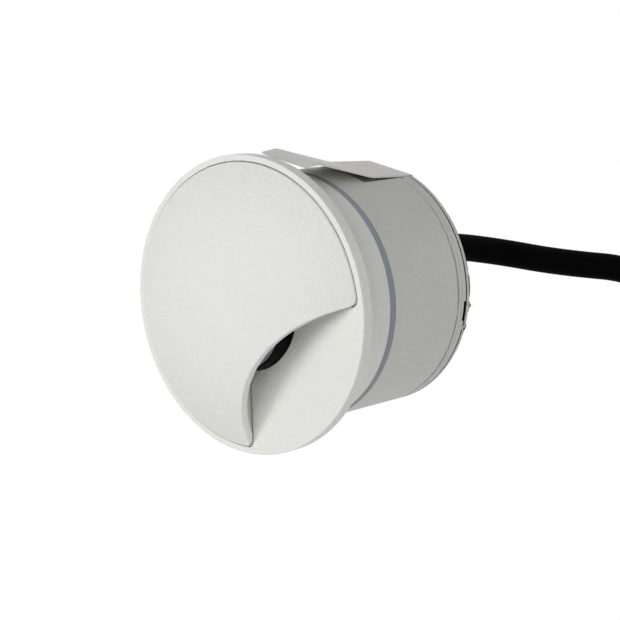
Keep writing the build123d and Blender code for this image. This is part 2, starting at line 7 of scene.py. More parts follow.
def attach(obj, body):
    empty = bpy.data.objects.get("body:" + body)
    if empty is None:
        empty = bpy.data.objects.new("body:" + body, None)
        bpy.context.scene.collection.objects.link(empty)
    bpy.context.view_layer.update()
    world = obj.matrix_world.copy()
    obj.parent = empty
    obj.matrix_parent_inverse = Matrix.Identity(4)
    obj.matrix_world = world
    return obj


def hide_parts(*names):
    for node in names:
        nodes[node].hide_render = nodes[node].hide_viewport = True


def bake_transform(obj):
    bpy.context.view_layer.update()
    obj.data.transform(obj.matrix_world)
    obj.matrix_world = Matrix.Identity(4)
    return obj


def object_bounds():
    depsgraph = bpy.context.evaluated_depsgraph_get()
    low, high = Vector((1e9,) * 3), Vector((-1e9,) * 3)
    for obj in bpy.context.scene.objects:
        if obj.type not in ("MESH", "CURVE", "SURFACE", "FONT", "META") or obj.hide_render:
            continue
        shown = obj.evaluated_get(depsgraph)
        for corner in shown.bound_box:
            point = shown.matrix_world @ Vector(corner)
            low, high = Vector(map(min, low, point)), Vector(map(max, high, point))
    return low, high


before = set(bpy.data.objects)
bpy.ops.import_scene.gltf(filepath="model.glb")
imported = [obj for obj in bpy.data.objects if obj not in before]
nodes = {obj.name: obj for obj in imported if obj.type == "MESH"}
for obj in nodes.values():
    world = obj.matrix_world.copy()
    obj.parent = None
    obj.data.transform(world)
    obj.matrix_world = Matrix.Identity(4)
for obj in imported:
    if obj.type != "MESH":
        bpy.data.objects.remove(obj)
scene = bpy.context.scene
cadBounds = [list(corner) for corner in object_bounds()]
mm = 0.001  # sizes below are in millimetres
print("frame loaded:", len(nodes), "nodes")


# picking, cutting and finishing pieces

def deselectAll():
    for item in list(bpy.context.selected_objects):
        item.select_set(False)


def pick(piece):
    deselectAll()
    piece.select_set(True)
    bpy.context.view_layer.objects.active = piece


def applyAll(piece):
    pick(piece)
    for modifier in list(piece.modifiers):
        bpy.ops.object.modifier_apply(modifier=modifier.name)


def editAll(piece):
    pick(piece)
    bpy.ops.object.mode_set(mode="EDIT")
    bpy.ops.mesh.select_all(action="SELECT")


def leaveEdit():
    bpy.ops.object.mode_set(mode="OBJECT")


def selectWhere(piece, kind, test):
    # kind is vertices or edges; call from object mode, then enter edit mode
    mesh = piece.data
    for group in (mesh.vertices, mesh.edges, mesh.polygons):
        for part in group:
            part.select = False
    for part in getattr(mesh, kind):
        part.select = test(part)


def smoothByAngle(piece, angle=35):
    pick(piece)
    bpy.ops.object.shade_smooth_by_angle(angle=math.radians(angle))


def roundEdges(piece, width, segments=3, angle=30):
    bevel = piece.modifiers.new("roundedEdges", "BEVEL")
    bevel.width = width * mm
    bevel.segments = segments
    bevel.limit_method = "ANGLE"
    bevel.angle_limit = math.radians(angle)
    bevel.use_clamp_overlap = False
    bevel.harden_normals = True
    applyAll(piece)


def combine(piece, tool, operation):
    boolean = piece.modifiers.new(operation.lower(), "BOOLEAN")
    boolean.operation = operation
    boolean.solver = "EXACT"
    boolean.object = tool
    applyAll(piece)
    bpy.data.objects.remove(tool)


def cleanSolid(piece):
    editAll(piece)
    bpy.ops.mesh.remove_doubles(threshold=0.003 * mm)
    bpy.ops.mesh.delete_loose()
    bpy.ops.mesh.select_all(action="SELECT")
    bpy.ops.mesh.normals_make_consistent(inside=False)
    leaveEdit()


def ringOfPoints(name, points):
    # a closed ring of edges through the points, started from a circle
    deselectAll()
    bpy.ops.mesh.primitive_circle_add(vertices=len(points), radius=mm)
    piece = bpy.context.object
    piece.name = piece.data.name = name
    for vertex, point in zip(piece.data.vertices, points):
        vertex.co = Vector(point) * mm
    return piece


def spun(name, outline, steps=192, centre=(0, 0), width=0.0, segments=3):
    # closed outline of (radius, depth), turned round an axis that runs along the depth at (x, z)
    x, z = centre
    piece = ringOfPoints(name, [(x + radius, depth, z) for radius, depth in outline])
    editAll(piece)
    bpy.ops.mesh.spin(steps=steps, angle=math.tau, center=(x * mm, 0, z * mm), axis=(0, 1, 0))
    leaveEdit()
    cleanSolid(piece)
    smoothByAngle(piece)
    if width:
        roundEdges(piece, width, segments)
    return piece


def arc(centre, radius, start, end, count):
    # points on an arc, angles in degrees, both ends included
    angles = [math.radians(start + (end - start) * i / (count - 1)) for i in range(count)]
    return [(centre[0] + radius * math.cos(a), centre[1] + radius * math.sin(a)) for a in angles]


def roundedCopy(name, node, width, segments=2, angle=30):
    # the CAD node's own shape, with its sharp edges rounded over
    piece = nodes[node].copy()
    piece.data = nodes[node].data.copy()
    piece.name = piece.data.name = name
    for key in list(piece.keys()):
        del piece[key]
    piece.parent = None
    scene.collection.objects.link(piece)
    pick(piece)
    if piece.data.has_custom_normals:
        bpy.ops.mesh.customdata_custom_splitnormals_clear()
    editAll(piece)
    bpy.ops.mesh.remove_doubles(threshold=0.004 * mm)
    bpy.ops.mesh.dissolve_limited(angle_limit=math.radians(0.3))
    leaveEdit()
    smoothByAngle(piece)
    roundEdges(piece, width, segments, angle)
    return piece


def settle(piece, body, slot, material, *replaced):
    # give a finished piece its material, attach it to its body if it has one, and hide the CAD
    # nodes it replaces
    piece.data.materials.clear()
    piece.data.materials.append(material)
    if body:
        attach(piece, body)
    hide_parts(*replaced)


# camera, as the photograph was taken

camera = {
    "lens": 116.13,
    "sensor": 36,
    "nearest": 0.01,
    "farthest": 20,
    "place": (0.297916, -0.386705, -0.208892),
    "right": (0.48893, 0.65232, -0.57916),
    "up": (0.67703, 0.13490, 0.72349),
    "forward": (-0.55007, 0.74584, 0.37568),
}


def addCamera(c):
    cameraData = bpy.data.cameras.new("camera")
    cameraData.lens = c["lens"]
    cameraData.sensor_width = c["sensor"]
    cameraData.clip_start = c["nearest"]
    cameraData.clip_end = c["farthest"]
    item = bpy.data.objects.new("camera", cameraData)
    scene.collection.objects.link(item)
    turn = Matrix((c["right"], c["up"], [-v for v in c["forward"]])).transposed()
    item.matrix_world = Matrix.Translation(c["place"]) @ turn.to_4x4()
    scene.camera = item


addCamera(camera)
print("camera placed")


# materials: shared effects first, then one finish for each slot

def newGroup(name, inputs, outputs):
    group = bpy.data.node_groups.new(name, "ShaderNodeTree")
    for label, kind, value in inputs:
        socket = group.interface.new_socket(
            name=label, in_out="INPUT", socket_type="NodeSocket" + kind
        )
        socket.default_value = value
    for label, kind in outputs:
        group.interface.new_socket(name=label, in_out="OUTPUT", socket_type="NodeSocket" + kind)
    return group, group.nodes.new("NodeGroupInput"), group.nodes.new("NodeGroupOutput")


def addNode(tree, kind, links=None, **settings):
    # links: input name or number -> value or another node's output
    node = tree.nodes.new("ShaderNode" + kind)
    for key, value in settings.items():
        setattr(node, key, value)
    for key, value in (links or {}).items():
        if isinstance(value, bpy.types.NodeSocket):
            tree.links.new(value, node.inputs[key])
        else:
            node.inputs[key].default_value = value
    return node


def math2(tree, operation, first, second):
    return addNode(tree, "Math", {0: first, 1: second}, operation=operation).outputs[0]


def noise(tree, place, scale, detail, roughness):
    links = {"Scale": scale, "Detail": detail, "Roughness": roughness, "Vector": place}
    return addNode(tree, "TexNoise", links).outputs[0]


def mapRange(tree, value, low, high, toLow, toHigh):
    return addNode(tree, "MapRange", {0: value, 1: low, 2: high, 3: toLow, 4: toHigh}).outputs[0]


def mixColor(tree, share, first, second):
    mixed = addNode(tree, "Mix", {0: share, 6: first, 7: second}, data_type="RGBA")
    return mixed.outputs[2]


def objectPlace(tree):
    return addNode(tree, "TexCoord").outputs["Object"]


def makePowderCoat():
    # baked powder paint: orange peel, fine grain, faint clouds of tone and gloss
    group, given, result = newGroup(
        "powderCoat",
        [
            ("Color", "Color", (0.8, 0.8, 0.8, 1)),
            ("Roughness", "Float", 0.4),
            ("Peel per metre", "Float", 900.0),
            ("Grain per metre", "Float", 3200.0),
            ("Grain share", "Float", 0.35),
            ("Tone change", "Float", 0.03),
        ],
        [("Color", "Color"), ("Roughness", "Float"), ("Height", "Float")],
    )
    place = objectPlace(group)
    peel = noise(group, place, given.outputs["Peel per metre"], detail=1.5, roughness=0.45)
    grain = noise(group, place, given.outputs["Grain per metre"], detail=2.0, roughness=0.6)
    cloud = noise(group, place, scale=55.0, detail=3.0, roughness=0.55)
    grainPart = math2(group, "MULTIPLY", grain, given.outputs["Grain share"])
    height = math2(group, "ADD", peel, grainPart)
    clouded = math2(group, "SUBTRACT", cloud, 0.5)
    speck = math2(group, "MULTIPLY", math2(group, "SUBTRACT", grain, 0.5), 0.6)
    uneven = math2(group, "ADD", clouded, speck)
    toneShift = math2(group, "MULTIPLY", uneven, given.outputs["Tone change"])
    tone = addNode(
        group,
        "HueSaturation",
        {"Color": given.outputs["Color"], "Value": math2(group, "ADD", toneShift, 1.0)},
    )
    gloss = math2(group, "MULTIPLY", uneven, 0.12)
    rough = math2(group, "ADD", given.outputs["Roughness"], gloss)
    group.links.new(tone.outputs[0], result.inputs["Color"])
    group.links.new(rough, result.inputs["Roughness"])
    group.links.new(height, result.inputs["Height"])
    return group


def makePaintedEdgeHighlight():
    # painted highlight: mask that is bright where an edge stands proud, broken up so that it isn't
    # a line
    group, given, result = newGroup(
        "paintedEdgeHighlight",
        [("Amount", "Float", 0.5), ("Break up per metre", "Float", 400.0)],
        [("Mask", "Float")],
    )
    place = objectPlace(group)
    proud = addNode(group, "NewGeometry").outputs["Pointiness"]
    lifted = mapRange(group, proud, low=0.62, high=0.72, toLow=0.0, toHigh=1.0)
    broken = noise(group, place, given.outputs["Break up per metre"], detail=3.0, roughness=0.6)
    patches = mapRange(group, broken, low=0.35, high=0.65, toLow=0.2, toHigh=1.0)
    highlighted = math2(group, "MULTIPLY", lifted, patches)
    mask = math2(group, "MULTIPLY", highlighted, given.outputs["Amount"])
    group.links.new(mask, result.inputs["Mask"])
    return group


def makeMoulded():
    # moulded plastic or rubber: fine spark texture and a little dust
    group, given, result = newGroup(
        "moulded",
        [
            ("Color", "Color", (0.02, 0.02, 0.02, 1)),
            ("Dust color", "Color", (0.25, 0.24, 0.23, 1)),
            ("Dust", "Float", 0.04),
            ("Roughness", "Float", 0.5),
            ("Texture per metre", "Float", 4000.0),
        ],
        [("Color", "Color"), ("Roughness", "Float"), ("Height", "Float")],
    )
    place = objectPlace(group)
    texture = noise(group, place, given.outputs["Texture per metre"], detail=2.0, roughness=0.6)
    cloud = noise(group, place, scale=90.0, detail=4.0, roughness=0.6)
    patches = math2(group, "MULTIPLY", cloud, texture)
    dusty = math2(group, "MULTIPLY", patches, given.outputs["Dust"])
    dustShare = math2(group, "MULTIPLY", dusty, 4.0)
    mixed = mixColor(group, dustShare, given.outputs["Color"], given.outputs["Dust color"])
    worn = math2(group, "MULTIPLY", math2(group, "SUBTRACT", cloud, 0.5), 0.2)
    rough = math2(group, "ADD", given.outputs["Roughness"], worn)
    group.links.new(mixed, result.inputs["Color"])
    group.links.new(rough, result.inputs["Roughness"])
    group.links.new(texture, result.inputs["Height"])
    return group


def makeDrawnMetal():
    # rolled, drawn or plated metal: fine lines along one axis and a soft change of tone
    group, given, result = newGroup(
        "drawnMetal",
        [
            ("Color", "Color", (0.6, 0.6, 0.6, 1)),
            ("Roughness", "Float", 0.35),
            ("Line stretch", "Vector", (1.0, 8.0, 1.0)),
            ("Lines per metre", "Float", 1500.0),
        ],
        [("Color", "Color"), ("Roughness", "Float"), ("Height", "Float")],
    )
    place = objectPlace(group)
    stretched = addNode(
        group,
        "VectorMath",
        {0: place, 1: given.outputs["Line stretch"]},
        operation="DIVIDE",
    ).outputs[0]
    lines = noise(group, stretched, given.outputs["Lines per metre"], detail=3.0, roughness=0.6)
    cloud = noise(group, place, scale=120.0, detail=3.0, roughness=0.6)
    uneven = math2(group, "SUBTRACT", math2(group, "ADD", lines, cloud), 1.0)
    change = math2(group, "MULTIPLY", uneven, 0.22)
    tone = addNode(
        group,
        "HueSaturation",
        {"Color": given.outputs["Color"], "Value": math2(group, "ADD", change, 1.0)},
    )
    rough = math2(group, "ADD", given.outputs["Roughness"], math2(group, "MULTIPLY", change, 0.7))
    group.links.new(tone.outputs[0], result.inputs["Color"])
    group.links.new(rough, result.inputs["Roughness"])
    group.links.new(lines, result.inputs["Height"])
    return group


effects = {
    "powder": makePowderCoat(),
    "edge": makePaintedEdgeHighlight(),
    "moulded": makeMoulded(),
    "metal": makeDrawnMetal(),
}


def finish(name, effect, values, strength, distance, edge=None, **shaderValues):
    # one material: an effect group into a Principled shader, with bump and an optional painted
    # highlight along proud edges
    material = bpy.data.materials.new(name)
    material.use_nodes = True
    tree = material.node_tree
    shader = tree.nodes["Principled BSDF"]
    for socket, value in shaderValues.items():
        shader.inputs[socket.replace("_", " ")].default_value = value
    group = tree.nodes.new("ShaderNodeGroup")
    group.node_tree = effects[effect]
    for socket, value in values.items():
        group.inputs[socket].default_value = value
    color = group.outputs["Color"]
    if edge:
        edgeHighlight = tree.nodes.new("ShaderNodeGroup")
        edgeHighlight.node_tree = effects["edge"]
        edgeHighlight.inputs["Amount"].default_value = edge[0]
        color = mixColor(tree, edgeHighlight.outputs[0], color, edge[1])
    tree.links.new(color, shader.inputs["Base Color"])
    tree.links.new(group.outputs["Roughness"], shader.inputs["Roughness"])
    bump = addNode(
        tree,
        "Bump",
        {"Height": group.outputs["Height"], "Strength": strength, "Distance": distance * mm},
    )
    tree.links.new(bump.outputs[0], shader.inputs["Normal"])
    return material


def rgb(*values):
    return (*values, 1.0)


whitePaint = finish(
    "whitePowderPaint",
    "powder",
    {
        "Color": rgb(0.80, 0.80, 0.765),
        "Roughness": 0.34,
        "Peel per metre": 1300.0,
        "Tone change": 0.04,
    },
    strength=1.0,
    distance=0.25,
    # painted highlight along proud edges
    edge=(0.8, rgb(0.95, 0.95, 0.94)),
    Specular_IOR_Level=0.2,
)
bodyPaint = finish(
    "bodyPaint",
    "powder",
    {
        "Color": rgb(0.66, 0.66, 0.625),
        "Roughness": 0.45,
        "Peel per metre": 1300.0,
        "Tone change": 0.06,
    },
    strength=1.0,
    distance=0.2,
    # painted highlight along proud edges
    edge=(0.35, rgb(0.82, 0.82, 0.81)),
    Specular_IOR_Level=0.06,
)
clipSteel = finish(
    "clipSteel",
    "powder",
    {
        "Color": rgb(0.78, 0.77, 0.73),
        "Roughness": 0.36,
        "Peel per metre": 1500.0,
        "Tone change": 0.1,
    },
    strength=0.9,
    distance=0.1,
    # painted highlight along proud edges
    edge=(0.8, rgb(0.95, 0.94, 0.92)),
    Metallic=0.05,
    Specular_IOR_Level=0.1,
)
platedSteel = finish(
    "platedSteel",
    "metal",
    {"Color": rgb(0.62, 0.61, 0.59), "Roughness": 0.32, "Lines per metre": 2500.0},
    strength=0.3,
    distance=0.02,
    # painted highlight along proud edges
    edge=(0.4, rgb(0.8, 0.8, 0.8)),
    Metallic=1.0,
)
bareAluminium = finish(
    "castAluminium",
    "metal",
    {
        "Color": rgb(0.66, 0.67, 0.68),
        "Roughness": 0.45,
        "Line stretch": (1.0, 1.0, 1.0),
        "Lines per metre": 900.0,
    },
    strength=0.4,
    distance=0.05,
    Metallic=1.0,
)
turnedBrass = finish(
    "turnedBrass",
    "metal",
    {"Color": rgb(0.72, 0.52, 0.24), "Roughness": 0.3, "Lines per metre": 2000.0},
    strength=0.3,
    distance=0.02,
    Metallic=1.0,
)
blackPlastic = finish(
    "blackPlastic",
    "moulded",
    {"Color": rgb(0.0015, 0.0015, 0.0017), "Roughness": 0.5, "Dust": 0.002},
    strength=0.35,
    distance=0.02,
    Specular_IOR_Level=0.03,
)
whitePlastic = finish(
    "whitePlastic",
    "moulded",
    {"Color": rgb(0.80, 0.80, 0.79), "Dust color": rgb(0.6, 0.58, 0.55), "Roughness": 0.3},
    strength=0.2,
    distance=0.02,
)
gasketRubber = finish(
    "blueGreyGasket",
    "moulded",
    {
        "Color": rgb(0.235, 0.27, 0.31),
        "Dust color": rgb(0.45, 0.47, 0.5),
        "Dust": 0.12,
        "Roughness": 0.55,
    },
    strength=0.4,
    distance=0.03,
)
blackRubber = finish(
    "blackRubber",
    "moulded",
    {
        "Color": rgb(0.0006, 0.0006, 0.0006),
        "Dust": 0.0,
        "Roughness": 0.7,
        "Texture per metre": 2600.0,
    },
    strength=0.35,
    distance=0.03,
    Specular_IOR_Level=0.03,
)
whiteBoard = finish(
    "whiteBoard",
    "moulded",
    {"Color": rgb(0.82, 0.82, 0.80), "Dust color": rgb(0.6, 0.58, 0.5), "Roughness": 0.35},
    strength=0.15,
    distance=0.02,
)
greenBoard = finish(
    "greenBoard",
    "moulded",
    {"Color": rgb(0.02, 0.16, 0.07), "Dust color": rgb(0.15, 0.3, 0.2), "Roughness": 0.35},
    strength=0.2,
    distance=0.03,
)
phosphor = finish(
    "phosphor",
    "moulded",
    {"Color": rgb(0.85, 0.68, 0.12), "Dust color": rgb(0.9, 0.8, 0.4), "Roughness": 0.45},
    strength=0.2,
    distance=0.02,
)
greyPad = finish(
    "greyPad",
    "moulded",
    {"Color": rgb(0.35, 0.36, 0.38), "Dust color": rgb(0.5, 0.5, 0.5), "Roughness": 0.7},
    strength=0.4,
    distance=0.04,
)
ferriteCore = finish(
    "ferriteCore",
    "moulded",
    {"Color": rgb(0.05, 0.048, 0.045), "Roughness": 0.6, "Texture per metre": 1800.0},
    strength=0.5,
    distance=0.05,
)
wireColors = {
    "red": rgb(0.52, 0.025, 0.02),
    "brown": rgb(0.16, 0.055, 0.022),
    "blue": rgb(0.02, 0.10, 0.36),
    "green": rgb(0.30, 0.42, 0.04),
}
wireFinish = {
    color: finish(
        color + "Wire",
        "moulded",
        {"Color": value, "Dust": 0.03, "Roughness": 0.38, "Texture per metre": 3000.0},
        strength=0.15,
        distance=0.02,
    )
    for color, value in wireColors.items()
}


def makeGlassWithPaintedGlint():
    material = bpy.data.materials.new("glassWithPaintedGlint")
    material.use_nodes = True
    tree = material.node_tree
    shader = tree.nodes["Principled BSDF"]
    # painted glint: little transmission and a bright lilac-grey base colour stand in for the
    # lens's reflection in the lid's shade; the clouds vary it at random
    shader.inputs["Transmission Weight"].default_value = 0.25
    shader.inputs["IOR"].default_value = 1.47
    place = objectPlace(tree)
    cloud = noise(tree, place, scale=260.0, detail=4.0, roughness=0.6)
    grain = noise(tree, place, scale=2600.0, detail=2.0, roughness=0.6)
    tone = addNode(tree, "ValToRGB", {0: cloud})
    tone.color_ramp.elements[0].position = 0.3
    tone.color_ramp.elements[0].color = rgb(0.60, 0.60, 0.65)
    tone.color_ramp.elements[1].position = 0.7
    tone.color_ramp.elements[1].color = rgb(0.76, 0.75, 0.80)
    frost = mapRange(tree, grain, low=0.3, high=0.7, toLow=0.22, toHigh=0.38)
    bump = addNode(tree, "Bump", {"Height": grain, "Strength": 0.25, "Distance": 0.02 * mm})
    tree.links.new(tone.outputs[0], shader.inputs["Base Color"])
    tree.links.new(frost, shader.inputs["Roughness"])
    tree.links.new(bump.outputs[0], shader.inputs["Normal"])
    return material


glassWithPaintedGlint = makeGlassWithPaintedGlint()
slotFinish = {
    "white_paint": whitePaint,
    "body_paint": bodyPaint,
    "zinc_steel": platedSteel,
    "spring_steel": clipSteel,
    "black_plastic": blackPlastic,
    "white_plastic": whitePlastic,
    "clouded_glass": glassWithPaintedGlint,
    "blue_grey_rubber": gasketRubber,
    "black_rubber": blackRubber,
    "white_board": whiteBoard,
    "green_board": greenBoard,
    "phosphor": phosphor,
    "grey_pad": greyPad,
    "bare_aluminium": bareAluminium,
    "brass": turnedBrass,
    "ferrite": ferriteCore,
    "red_wire": wireFinish["red"],
    "brown_wire": wireFinish["brown"],
}
for node in nodes.values():
    for holder in node.material_slots:
        holder.material = slotFinish[holder.material.name.split(".")[0]]
print("materials made:", len(slotFinish))


# free cable, with its stripped end

cable = {
    "radius": 4.1,
    "route": (
        (0, 72.1, 8.1),
        (0, 89.3, 8.1),
        (1.6, 107.5, 1.4),
        (6.5, 125.0, -11.4),
        (17.5, 142.0, -28.0),
        (22.0, 155.0, -61.0),
        (22.5, 158.5, -111.0),
        (21.0, 156.0, -164.0),
        (20.0, 152.5, -215.5),
    ),
    "length": 274.4,
    "coreCircle": 1.5,
    "coreRadius": 1.1,
    "coreLength": 17.0,
    "coreInJacket": 2.0,
    "coreInFerrule": 1,
    "ferruleRadius": 1.25,
    "ferruleLength": 8.0,
    "ferruleCollar": 1.6,
    "collarEnd": 1.6,
    "shoulderEnd": 2.4,
    "ferruleChamfer": 0.3,
}


def cableCurve(name, points, radius, material):
    curve = bpy.data.curves.new(name, "CURVE")
    curve.dimensions = "3D"
    curve.resolution_u = 24
    curve.bevel_depth = radius * mm
    curve.bevel_resolution = 8
    curve.use_fill_caps = True
    spline = curve.splines.new("NURBS")
    spline.points.add(len(points) - 1)
    for point, place in zip(spline.points, points):
        point.co = (*(Vector(place) * mm), 1.0)
    spline.order_u = 3
    spline.use_endpoint_u = True
    item = bpy.data.objects.new(name, curve)
    scene.collection.objects.link(item)
    curve.materials.append(material)
    return item


def alongDirection(start, direction):
    return Matrix.Translation(start) @ direction.to_track_quat("Y", "Z").to_matrix().to_4x4()


def addCable(c):
    jacket = cableCurve("powerCable", c["route"], c["radius"], blackRubber)
    end = Vector(c["route"][-1])
    heading = (end - Vector(c["route"][-2])).normalized()
    place = alongDirection(end, heading)
    length, bodyRadius, collar = c["coreLength"], c["ferruleRadius"], c["ferruleCollar"]
    tip, chamfer = length + c["ferruleLength"], c["ferruleChamfer"]
    ferruleOutline = [
        (0, length),
        (collar, length),
        (collar, length + c["collarEnd"]),
        (bodyRadius, length + c["shoulderEnd"]),
        (bodyRadius, tip - chamfer),
        (bodyRadius - chamfer, tip),
        (0, tip),
    ]
    steps = (-c["coreInJacket"], 0, length / 2, length + c["coreInFerrule"])
    endPieces = []
    for i, color in enumerate(("brown", "blue", "green")):
        angle = math.radians(90 + 120 * i)
        spot = Vector((c["coreCircle"] * math.cos(angle), 0, c["coreCircle"] * math.sin(angle)))
        line = [place @ (spot + Vector((0, along, 0))) for along in steps]
        core = cableCurve(color + "Core", line, c["coreRadius"], wireFinish[color])
        ferrule = spun(color + "Ferrule", ferruleOutline, steps=32, width=0.08, segments=2)
        shift = Matrix.Translation(spot * mm)
        turned = place.copy()
        turned.translation *= mm
        ferrule.data.transform(turned @ shift)
        settle(core, "light", "brown_wire", wireFinish[color], "cable_cores")
        settle(ferrule, "light", "zinc_steel", platedSteel, "core_ferrules")
        endPieces += [core, ferrule]
    settle(jacket, "light", "black_rubber", blackRubber, "power_cable")


addCable(cable)
print("cable laid")


# front plate and eyelid cover

def clockPoint(radius, angle):
    # clock angle goes from +Z towards +X, seen from the front
    return radius * math.sin(math.radians(angle)), radius * math.cos(math.radians(angle))


def clockArc(radius, start, end, count):
    return [clockPoint(radius, start + (end - start) * i / (count - 1)) for i in range(count)]


def prism(name, outline, front, rear):
    # (x, z) outline filled and extruded from rear to front depth
    piece = ringOfPoints(name, [(x, rear, z) for x, z in outline])
    editAll(piece)
    bpy.ops.mesh.edge_face_add()
    bpy.ops.mesh.extrude_region_move(TRANSFORM_OT_translate={"value": (0, (front - rear) * mm, 0)})
    bpy.ops.mesh.select_all(action="SELECT")
    bpy.ops.mesh.normals_make_consistent(inside=False)
    leaveEdit()
    return piece


def mergeFlats(piece, angle):
    editAll(piece)
    bpy.ops.mesh.dissolve_limited(angle_limit=math.radians(angle))
    leaveEdit()


def evenNormals(piece):
    smoothByAngle(piece, 40)
    weighted = piece.modifiers.new("weightedNormals", "WEIGHTED_NORMAL")
    weighted.keep_sharp = True
    weighted.weight = 80
    applyAll(piece)


def addPosts(piece, posts, front):
    for angle in posts["clocks"]:
        post = spun(
            "post",
            [
                (posts["hole"], front),
                (posts["radius"], front),
                (posts["radius"], posts["end"]),
                (posts["hole"], posts["end"]),
            ],
            steps=40,
            centre=clockPoint(posts["circle"], angle),
        )
        combine(piece, post, "UNION")


plate = {
    "radius": 40.0,
    "front": -3.7,
    "edgeRound": 0.3,
    "cornerRound": 0.12,
    "bodyRadius": 34.0,
    "neckEnd": 14.6,
    "spigotRadius": 30.8,
    "spigotEnd": 20.6,
    "neckBore": 29.5,
    "floorRear": -0.7,
    "aperture": 17.45,
    "edgeSteps": 5,
    "seatOuter": 38.35,
    "seatInner": 19.2,
    "seatDepth": 1.3,
    "seatCorner": 2.0,
    "seatGap": 0.5,
    "seatSteps": {"outer": 240, "corner": 8, "inner": 160},
    "toolReach": 1,
    "mouthAngle": 47.0,
    "bodyPosts": {
        "circle": 27.6,
        "radius": 3.25,
        "hole": 1.55,
        "end": 22.0,
        "clocks": (75, 195, 315),
    },
    "sinkPosts": {
        "circle": 25.9,
        "radius": 3.0,
        "hole": 1.55,
        "end": 11.1,
        "clocks": (45, 165, 285),
    },
    "postOverlap": 0.2,
}


def addPlate(p):
    edge, steps = p["edgeRound"], p["edgeSteps"]
    rim = [
        (radius + p["radius"] - edge, depth)
        for radius, depth in arc((0, p["front"] + edge), edge, -90, 0, steps)
    ]
    heel = [
        (radius + p["radius"] - edge, depth)
        for radius, depth in arc((0, -edge), edge, 0, 90, steps)
    ]
    outline = [
        (p["aperture"], p["front"]),
        *rim,
        *heel,
        (p["bodyRadius"], 0),
        (p["bodyRadius"], p["neckEnd"]),
        (p["spigotRadius"], p["neckEnd"]),
        (p["spigotRadius"], p["spigotEnd"]),
        (p["neckBore"], p["spigotEnd"]),
        (p["neckBore"], p["floorRear"]),
        (p["aperture"], p["floorRear"]),
    ]
    piece = spun("frontBezel", outline)

    def edgeClock(radius):
        return 180 - p["mouthAngle"] + math.degrees(math.asin(p["seatGap"] / radius))

    outer, inner = edgeClock(p["seatOuter"]), edgeClock(p["seatInner"])
    corner, counts = p["seatCorner"], p["seatSteps"]
    back = math.degrees(corner / p["seatOuter"])
    rightCorner = [
        clockPoint(
            p["seatOuter"] - corner * (1 - math.cos(t)),
            outer - back * (1 - math.sin(t)),
        )
        for t in [math.pi / 2 * i / counts["corner"] for i in range(1, counts["corner"] + 1)]
    ]
    leftCorner = [(-x, z) for x, z in reversed(rightCorner)]
    seat = [
        *clockArc(p["seatOuter"], back - outer, outer - back, counts["outer"]),
        *rightCorner,
        *clockArc(p["seatInner"], inner, -inner, counts["inner"]),
        *leftCorner,
    ]
    tool = prism("seat", seat, p["front"] - p["toolReach"], p["front"] + p["seatDepth"])
    combine(piece, tool, "DIFFERENCE")
    mergeFlats(piece, angle=0.1)
    roundEdges(piece, p["cornerRound"], 2, 40)
    for posts in (p["bodyPosts"], p["sinkPosts"]):
        addPosts(piece, posts, p["floorRear"] - p["postOverlap"])
    evenNormals(piece)
    settle(piece, "light", "white_paint", whitePaint, "front_bezel")


lid = {
    "radius": 38.05,
    "base": -2.4,
    "edge": -4.1,
    "apex": -16.9,
    "skin": 2.1,
    "mouthTop": 17.6,
    "mouthAngle": 47.0,
    "corner": 2.2,
    "outlineSteps": {"rim": 180, "corner": 9, "mouth": 72},
    "lipFloor": -4.0,
    "lipThinnest": 0.35,
    "mouthMargin": 1.0,
    "ringBore": 19.5,
    "wall": 1.6,
    "wallReach": 38.0,
    "sideTilt": 0.05,  # a face that looks less than this to the front is a side
    "edgeRound": 0.16,
    "roundShare": 0.36,  # of the shell's thickness, at most
    "centre": 16.0,
    "rings": 18,
    "ringSpread": (0.4, 0.6, 1.3),
    "domeSteps": 40,
    "ringSteps": {"inner": 120, "outer": 130},
    "toolReach": 1,
    "capGap": 0.01,
    "wallGap": 0.04,
    "wallOverlap": 0.02,
    "bosses": {"circle": 26.5, "radius": 3.1, "steps": 40, "clocks": (0, 105, 255)},
}


def lidCurves(c):
    # the ball's radius and centre, and the arch of the mouth
    rise = c["edge"] - c["apex"]
    ball = (c["radius"] ** 2 + rise**2) / (2 * rise)
    cornerX, cornerZ = clockPoint(c["radius"], 180 - c["mouthAngle"])
    archRise = -cornerZ - c["mouthTop"]
    arch = (cornerX**2 + archRise**2) / (2 * archRise)
    return ball, c["apex"] + ball, arch, -c["mouthTop"] - arch


def lidOutline(c):
    arch, archCentre = lidCurves(c)[2:]
    counts = c["outlineSteps"]
    # centre of the rounded corner: inside the rim's circle, outside the arch's
    inside, outside = c["radius"] - c["corner"], arch + c["corner"]
    z = (outside**2 - inside**2 - archCentre**2) / (-2 * archCentre)
    x = math.sqrt(inside**2 - z**2)
    clockEnd = math.degrees(math.atan2(x, z))
    archEnd = math.degrees(math.atan2(x, z - archCentre))
    cornerArc = clockArc(c["corner"], clockEnd, archEnd + 180, counts["corner"])
    rightCorner = [(x + dx, z + dz) for dx, dz in cornerArc]
    leftCorner = [(-dx, dz) for dx, dz in reversed(rightCorner)]
    rim = clockArc(c["radius"], -clockEnd, clockEnd, counts["rim"])
    mouthArc = clockArc(arch, archEnd, -archEnd, counts["mouth"])
    mouth = [(dx, archCentre + dz) for dx, dz in mouthArc]
    return [*rim, *rightCorner[1:-1], *mouth, *leftCorner[1:-1]]


def ballDepth(radius, centre, x, z):
    return centre - math.sqrt(radius**2 - x**2 - z**2)


